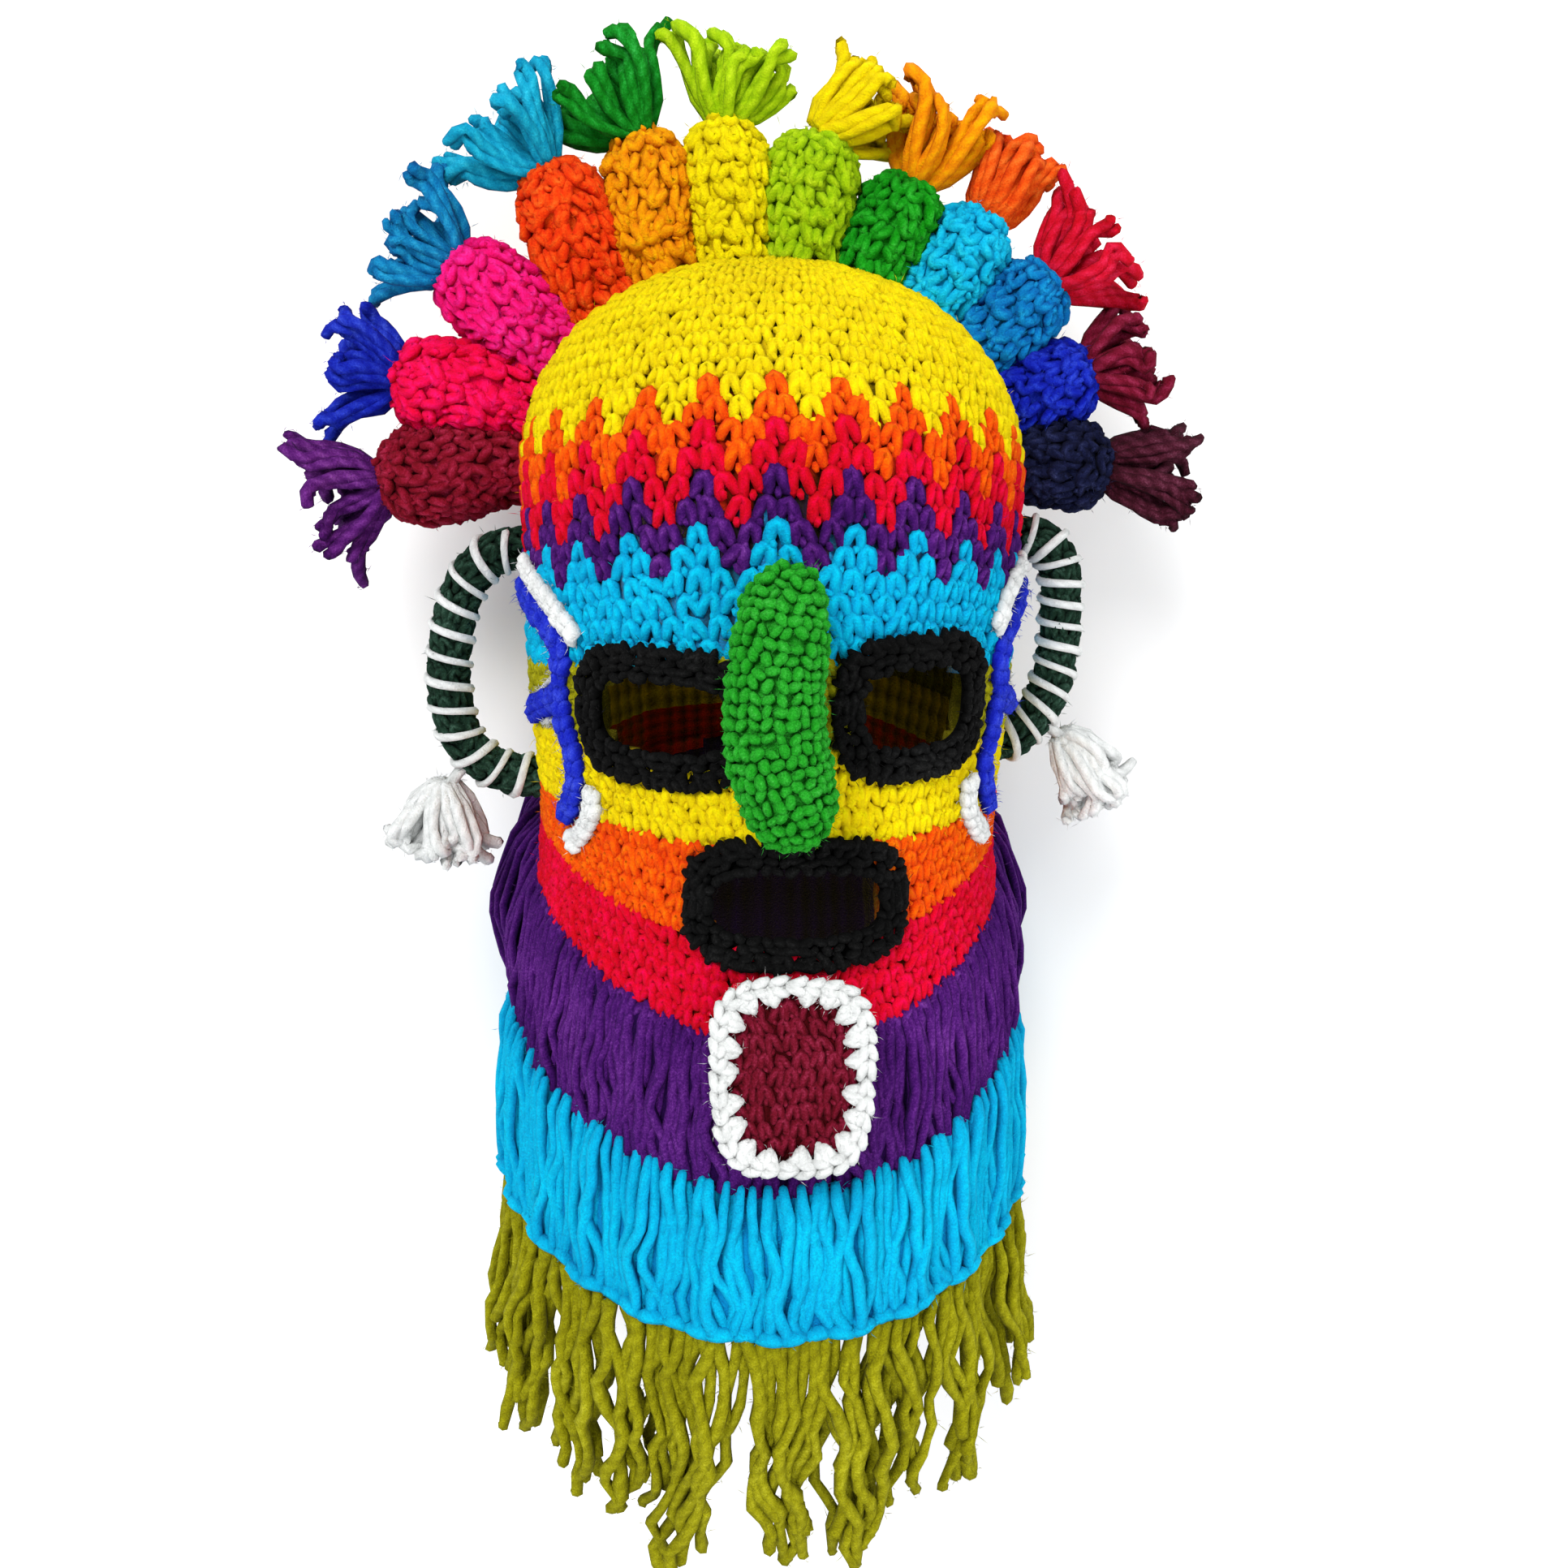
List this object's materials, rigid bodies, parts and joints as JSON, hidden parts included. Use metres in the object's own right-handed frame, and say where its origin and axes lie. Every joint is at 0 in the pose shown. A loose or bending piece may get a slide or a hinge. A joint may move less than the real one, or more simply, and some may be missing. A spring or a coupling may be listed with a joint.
{
  "type": "devil dance mask",
  "caption": "Crocheted full-head devil mask hood with stuffed horns and nose, ear loops, yarn tassels, looped collar and fringe; hollow, open at the neck, eyes and mouth.",
  "frame": {"origin": "middle of the footprint of the mask as it lies on its back", "axes": "+X to the right of the face as it is looked at, +Y towards the crown, +Z out of the face, upwards"},
  "size_m": [0.3186, 0.5124, 0.2272],
  "materials": {
    "hood_wool": "thick crocheted wool in rounds of yellow, orange, red, purple, turquoise and olive",
    "purple_wool": "looped wool yarn",
    "turquoise_wool": "looped wool yarn",
    "olive_wool": "free wool strands",
    "black_wool": "crocheted wool edging",
    "nose_wool": "stuffed fuzzy crochet",
    "tongue_wool": "crocheted wool",
    "white_wool": "white wool yarn",
    "ear_wool": "crocheted dark green wool",
    "blue_wool": "crocheted wool line",
    "horn_01_wool": "stuffed crochet in wool",
    "horn_02_wool": "stuffed crochet in wool",
    "horn_03_wool": "stuffed crochet in wool",
    "horn_04_wool": "stuffed crochet in wool",
    "horn_05_wool": "stuffed crochet in wool",
    "horn_06_wool": "stuffed crochet in wool",
    "horn_07_wool": "stuffed crochet in wool",
    "horn_08_wool": "stuffed crochet in wool",
    "horn_09_wool": "stuffed crochet in wool",
    "horn_10_wool": "stuffed crochet in wool",
    "horn_11_wool": "stuffed crochet in wool",
    "horn_12_wool": "stuffed crochet in wool",
    "tassel_01_wool": "free wool yarn ends",
    "tassel_02_wool": "free wool yarn ends",
    "tassel_03_wool": "free wool yarn ends",
    "tassel_04_wool": "free wool yarn ends",
    "tassel_05_wool": "free wool yarn ends",
    "tassel_06_wool": "free wool yarn ends",
    "tassel_07_wool": "free wool yarn ends",
    "tassel_08_wool": "free wool yarn ends",
    "tassel_09_wool": "free wool yarn ends",
    "tassel_10_wool": "free wool yarn ends",
    "tassel_11_wool": "free wool yarn ends",
    "tassel_12_wool": "free wool yarn ends"
  },
  "bodies": {
    "root": {"hood": "hood_wool", "loops_purple": "purple_wool", "loops_turquoise": "turquoise_wool", "fringe_olive": "olive_wool", "nose": "nose_wool", "eye_rim_left": "black_wool", "eye_rim_right": "black_wool", "mouth_rim": "black_wool", "tongue": "tongue_wool", "tongue_edge": "white_wool", "horn_01": "horn_01_wool", "tassel_01": "tassel_01_wool", "horn_02": "horn_02_wool", "tassel_02": "tassel_02_wool", "horn_03": "horn_03_wool", "tassel_03": "tassel_03_wool", "horn_04": "horn_04_wool", "tassel_04": "tassel_04_wool", "horn_05": "horn_05_wool", "tassel_05": "tassel_05_wool", "horn_06": "horn_06_wool", "tassel_06": "tassel_06_wool", "horn_07": "horn_07_wool", "tassel_07": "tassel_07_wool", "horn_08": "horn_08_wool", "tassel_08": "tassel_08_wool", "horn_09": "horn_09_wool", "tassel_09": "tassel_09_wool", "horn_10": "horn_10_wool", "tassel_10": "tassel_10_wool", "horn_11": "horn_11_wool", "tassel_11": "tassel_11_wool", "horn_12": "horn_12_wool", "tassel_12": "tassel_12_wool", "ear_tassel_left": "white_wool", "ear_tassel_right": "white_wool", "cheek_cord_blue_left": "blue_wool", "cheek_cord_blue_right": "blue_wool", "cheek_cord_white_upper_left": "white_wool", "cheek_cord_white_lower_left": "white_wool", "cheek_cord_white_upper_right": "white_wool", "cheek_cord_white_lower_right": "white_wool", "ear_left": "ear_wool", "ear_wrap_left": "white_wool", "ear_right": "ear_wool", "ear_wrap_right": "white_wool"}
  },
  "joints": []
}
